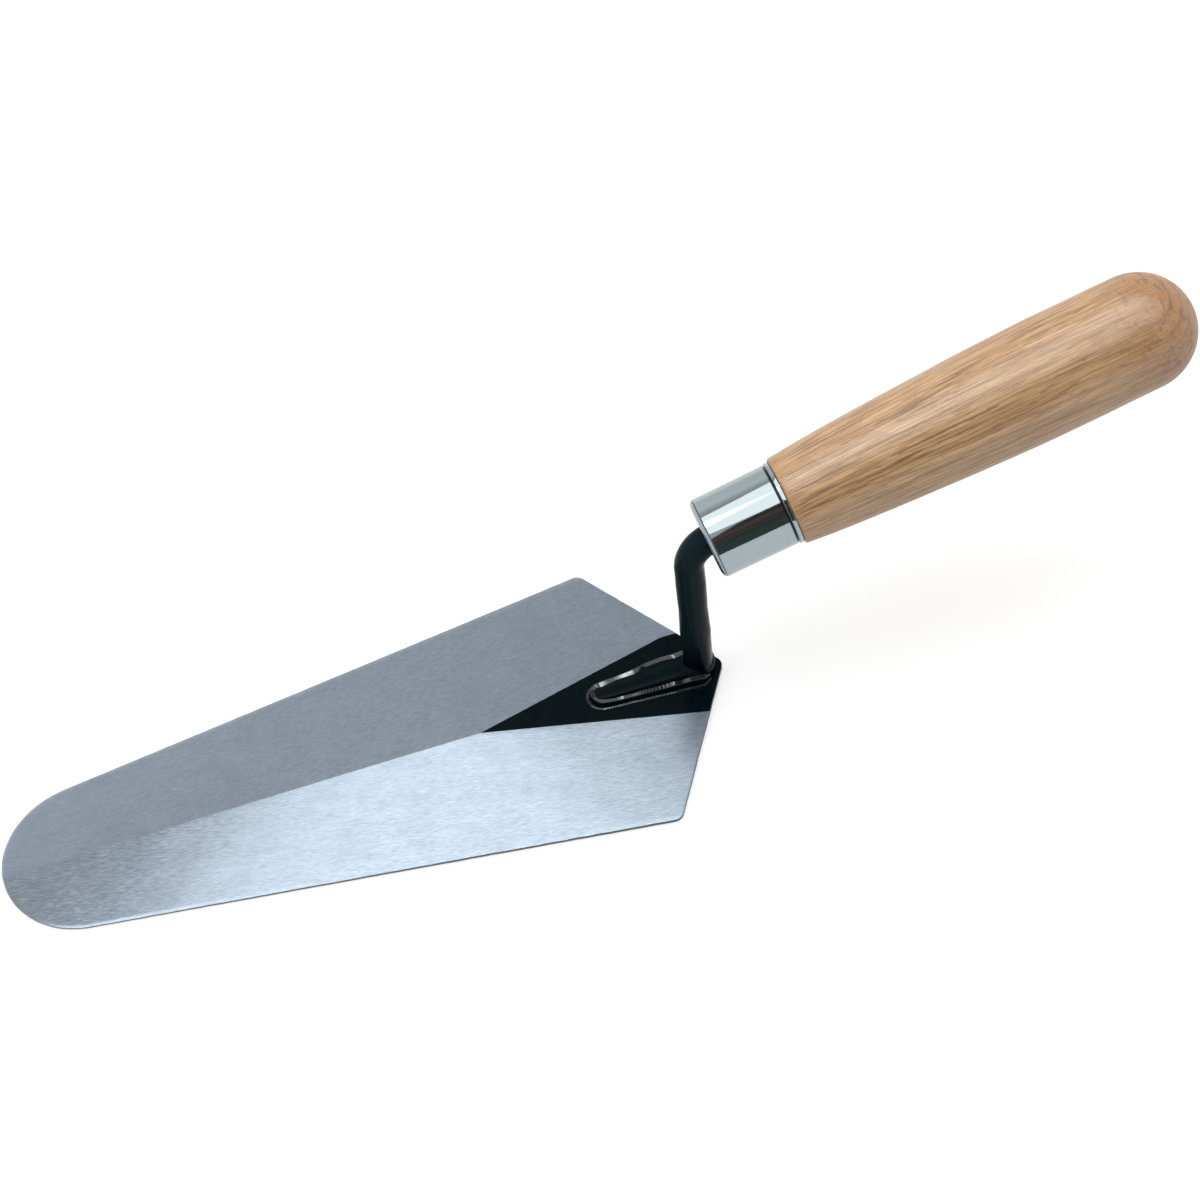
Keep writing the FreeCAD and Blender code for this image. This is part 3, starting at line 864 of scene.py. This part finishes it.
def makeWeld(node, how):
    # section from the foot outwards: a gentle crown, a steep wall down to a low apron, the apron to nothing;
    # at the tip both runs take the same section, so that they meet in the middle plane
    x, y, angle, distance = footEdge(np.linspace(0.0, 1.0, weld["rows"]))
    share = (distance / distance[-1])[:, None]
    v = np.linspace(0.0, 1.0, weld["columns"])[None, :]
    own = smoothStep(*weld["tipBlend"], share)
    size = {key: value + (how[key] - value) * own for key, value in weld["tip"].items()}
    lumps = own * waves(how["seed"], 7, how["lumpShort"], how["lumpLong"])(distance)[:, None] * how["lump"]
    ends = smoothStep(*weld["endBlend"], share)
    toe = weld["toeTip"] + (weld["toeRear"] - weld["toeTip"]) * share + 0.7 * lumps
    toe = toe * (weld["endToe"] + (1.0 - weld["endToe"]) * ends)
    # the left run is thinner and steeper over its middle
    middle = smoothStep(*weld["thinFrom"], share) * smoothStep(*weld["thinTo"], share)
    wavy = 1.0 + how["uneven"] * own * waves(how["seed"] + 20, 6, 4 * mm, 10 * mm)(distance)[:, None]
    size["inside"] = size["inside"] * (1.0 - how["thin"] * middle)
    size["bury"] = size["bury"] * (1.0 + how["fade"] * middle)
    wide = toe + size["inside"]
    out = -size["inside"] + wide * v
    lowering = how["share"] + (1.0 - how["share"]) * smoothStep(weld["lowerBy"], 0.0, share)
    top = footHeight(x)[:, None] * lowering + size["crest"] + lumps
    top = top * (weld["endTop"] + (1.0 - weld["endTop"]) * ends)
    crown, wall = size["crown"], size["wall"]
    top = top - size["bury"] * wide * np.maximum(0.0, crown - v)
    top = top - size["dome"] * wavy * wide * np.clip(v - 0.35 * crown, 0.0, 0.65 * crown)
    apron = size["apron"] * (2.0 - wavy).clip(0.4, 1.6) * wide * (1.0 - wall)
    rise = apron + (top - apron) * (1.0 - smoothStep(crown, wall, v))
    rise = rise - apron * np.clip((v - wall) / (1.0 - wall), 0.0, 1.0)
    phase = distance[:, None] / weld["ripplePitch"] + 1.6 * (v - 0.45) ** 2
    phase = phase + 0.3 * waves(how["seed"] + 40, 5, 4 * mm, 15 * mm)(distance)[:, None]
    strong = weld["rippleLow"] + np.exp(-((x[:, None] - weld["rippleAt"]) / weld["rippleReach"]) ** 2)
    ripple = how["ripple"] * strong * np.sin(2 * math.pi * phase) * np.sin(math.pi * v) ** 0.7 * ends
    rise = np.maximum(rise + ripple, 0.0)
    under = np.linspace(1.0, 0.0, weld["underRows"])[1:-1][None, :] * np.ones_like(share)
    out = np.concatenate([out, -size["inside"] + wide * under], 1)
    rise = np.concatenate([rise, -tang["sunk"] * np.ones_like(under)], 1)
    placeX = x[:, None] + np.cos(angle)[:, None] * out
    placeY = (y[:, None] + np.sin(angle)[:, None] * out) * how["side"]
    rings = np.stack([placeX, placeY, blade["thickness"] + rise], -1)
    name = node.replace("weld_", "") + "_run"
    piece = makePiece(name, tubePoints(rings), tubeFaces(*rise.shape), weldLacquer)
    dress(piece, node)


# turned pieces: a profile of (station, radius) carried round the handle's axis

def turnProfile(profile, columns, ripple):
    start, along, upward = axisPlacing()
    around = ringAngles(columns)
    station, radius = profile[:, :1], profile[:, 1:] * np.ones((1, columns))
    radius = radius + ripple(station, around[None, :])
    centre = start + station[..., None] * along
    return carryRound(centre, radius, around, sideways, upward)


def roundedLine(corners, steps):
    # corners are (station, radius, rounding): each rounding is an arc of that radius, tangent to both lines
    points = []
    for index, (x, y, rounding) in enumerate(corners):
        here = np.array([x, y])
        if rounding <= 0.0:
            points.append(here[None])
            continue
        back = np.array(corners[index - 1][:2]) - here
        ahead = np.array(corners[(index + 1) % len(corners)][:2]) - here
        back, ahead = back / np.hypot(*back), ahead / np.hypot(*ahead)
        half = math.acos(np.clip(back @ ahead, -1.0, 1.0)) / 2
        middle = here + (back + ahead) / np.hypot(*(back + ahead)) * rounding / math.sin(half)
        first = here + back * rounding / math.tan(half) - middle
        last = here + ahead * rounding / math.tan(half) - middle
        share = np.linspace(0.0, 1.0, steps)[:, None]
        spread = math.pi - 2 * half
        arc = (np.sin((1 - share) * spread) * first + np.sin(share * spread) * last) / math.sin(spread)
        points.append(middle + arc)
    return np.concatenate(points)


ferrule = {"start": 5.1 * mm, "length": 22.8 * mm, "front": 10.9 * mm, "rear": 11.0 * mm, "wall": 0.8 * mm,
           "hole": 4.55 * mm, "shoulder": 1.1 * mm, "shoulderFall": 2.0 * mm, "crease": 0.14 * mm,
           "creaseLength": 0.25 * mm, "lip": 1.3 * mm, "lipRise": 0.25 * mm, "groove": 0.5 * mm,
           "grooveDepth": 0.45 * mm, "innerRound": 2.2 * mm, "uneven": 0.012 * mm, "columns": 160,
           "shoulderSteps": 14, "roundSteps": 9}


def makeFerrule():
    f = ferrule
    rear, end, lip = f["rear"], f["length"], f["length"] - f["lip"]
    # the shoulder is a quarter of an ellipse
    turn = np.linspace(0.0, 0.5, f["shoulderSteps"]) * math.pi
    rise = f["front"] - f["crease"] - f["shoulderFall"] * (1.0 - np.sin(turn))
    shoulder = np.column_stack([f["shoulder"] * (1.0 - np.cos(turn)), rise, 0.0 * turn])
    corners = [(f["wall"], f["hole"], 0.15 * mm),
               (0.0, f["hole"], 0.2 * mm),
               *shoulder.tolist(),
               (f["shoulder"] + f["creaseLength"], f["front"], 0.1 * mm),
               (lip - f["groove"], rear, 0.12 * mm),
               (lip - f["groove"] * 0.4, rear - f["grooveDepth"], 0.1 * mm),
               (lip, rear + f["lipRise"], 0.25 * mm),
               (end, rear + f["lipRise"], 0.35 * mm),
               (end, rear - f["wall"], 0.2 * mm),
               (f["wall"], f["front"] - f["wall"] - f["crease"], f["innerRound"])]
    profile = roundedLine(corners, f["roundSteps"]) + (f["start"], 0.0)
    grid = turnProfile(profile, f["columns"], lambda s, a: f["uneven"] * np.sin(3 * a + 90.0 * s))
    grid = np.concatenate([grid, grid[:1]])
    piece = makePiece("plated_ferrule", grid, stripFaces(*grid.shape[:2]), brightPlating)
    dress(piece, "ferrule")


handle = {"length": 113.2 * mm, "neck": 11.95 * mm, "neckEdge": 0.7 * mm, "neckSlope": 0.1,
          "waistAt": 35.0 * mm, "waist": 14.15 * mm, "bellyAt": 72.0 * mm, "belly": 15.35 * mm,
          "butt": 15.25 * mm, "dome": 15.2 * mm, "tenonGap": 0.05 * mm, "tenonFront": 7.66 * mm,
          "chamfer": 2.6 * mm, "bore": 4.05 * mm, "boreEnd": 2.25 * mm, "boreTip": 0.3 * mm,
          "boreSpare": 1.5 * mm, "uneven": 0.02 * mm, "columns": 160, "edgeRows": 7, "bodyRows": 130,
          "domeRows": 40}


def bellyRadius(station):
    # the smooth curve with set end slopes through neck, waist, belly and the start of the dome
    knots = np.array([handle["neckEdge"], handle["waistAt"], handle["bellyAt"],
                      handle["length"] - handle["dome"]])
    level = np.array([handle["neck"], handle["waist"], handle["belly"], handle["butt"]])
    gap, rise = np.diff(knots), np.diff(level)
    slopes = np.zeros(4)
    slopes[0] = handle["neckSlope"]
    inner = np.array([[2 * (1 / gap[0] + 1 / gap[1]), 1 / gap[1]],
                      [1 / gap[1], 2 * (1 / gap[1] + 1 / gap[2])]])
    pull = np.array([3 * (rise[0] / gap[0] ** 2 + rise[1] / gap[1] ** 2) - slopes[0] / gap[0],
                     3 * (rise[1] / gap[1] ** 2 + rise[2] / gap[2] ** 2) - slopes[3] / gap[2]])
    slopes[1:3] = np.linalg.solve(inner, pull)
    span = np.clip(np.searchsorted(knots, station) - 1, 0, 2)
    t = (station - knots[span]) / gap[span]
    return ((2 * t ** 3 - 3 * t ** 2 + 1) * level[span] + (t ** 3 - 2 * t ** 2 + t) * gap[span] * slopes[span]
            + (3 * t ** 2 - 2 * t ** 3) * level[span + 1] + (t ** 3 - t ** 2) * gap[span] * slopes[span + 1])


def makeHandle():
    # one profile, turned: out of the bore, over the tenon, the neck's edge and the belly, and round the butt
    h = handle
    rear = ferrule["start"] + ferrule["length"]
    tenon = ferrule["rear"] - ferrule["wall"] - h["tenonGap"]
    tenonFront = h["tenonFront"] - rear
    boreEnd = h["tenonFront"] + tang["spike"] + h["boreSpare"] - rear
    bore = np.array([[boreEnd, h["boreTip"]], [boreEnd, h["boreEnd"]], [tenonFront, h["bore"]]])
    front = np.array([[tenonFront, tenon - h["chamfer"]], [tenonFront + h["chamfer"], tenon],
                      [0.0, tenon], [0.0, h["neck"] - h["neckEdge"]]])
    turn = np.linspace(0.15, 1.0, h["edgeRows"])[:, None] * math.pi / 2
    edge = np.hstack([h["neckEdge"] * (1 - np.cos(turn)), h["neck"] - h["neckEdge"] * (1 - np.sin(turn))])
    station = np.linspace(h["neckEdge"], h["length"] - h["dome"], h["bodyRows"])[1:]
    body = np.column_stack([station, bellyRadius(station)])
    turn = np.linspace(0.0, 1.0, h["domeRows"])[1:-1, None] * math.pi / 2
    dome = np.hstack([h["length"] - h["dome"] * (1 - np.sin(turn)), h["butt"] * np.cos(turn)])
    profile = np.concatenate([bore, front, edge, body, dome]) + (rear, 0.0)
    outer = len(bore) + len(front)
    uneven = waves(51, 6, 9 * mm, 40 * mm)

    def ripple(at, around):
        shown = (np.arange(len(profile)) >= outer)[:, None]
        return shown * h["uneven"] * (uneven(at) * np.cos(around) - 1.0)
    rings = turnProfile(profile, h["columns"], ripple)
    points = tubePoints(rings)
    start, along, _ = axisPlacing()
    points[-1] = start + along * (rear + h["length"])
    piece = makePiece("turned_handle", points, tubeFaces(*rings.shape[:2]), varnishedWood)
    dress(piece, "handle")


groundSteel, brightPlating, varnishedWood = makeSteel(), makePlating(), makeWood()
blackLacquer = makeLacquer("blackLacquer", lacquer["tangShine"], lacquer["roughness"])
weldLacquer = makeLacquer("weldLacquer", lacquer["weldShine"], lacquer["weldRoughness"])
print("finishes ready")
makeBlade()
print("blade ready")
makeTang()
for node, how in weldSides.items():
    makeWeld(node, how)
print("tang and welds ready")
makeFerrule()
makeHandle()
print("ferrule and handle ready")
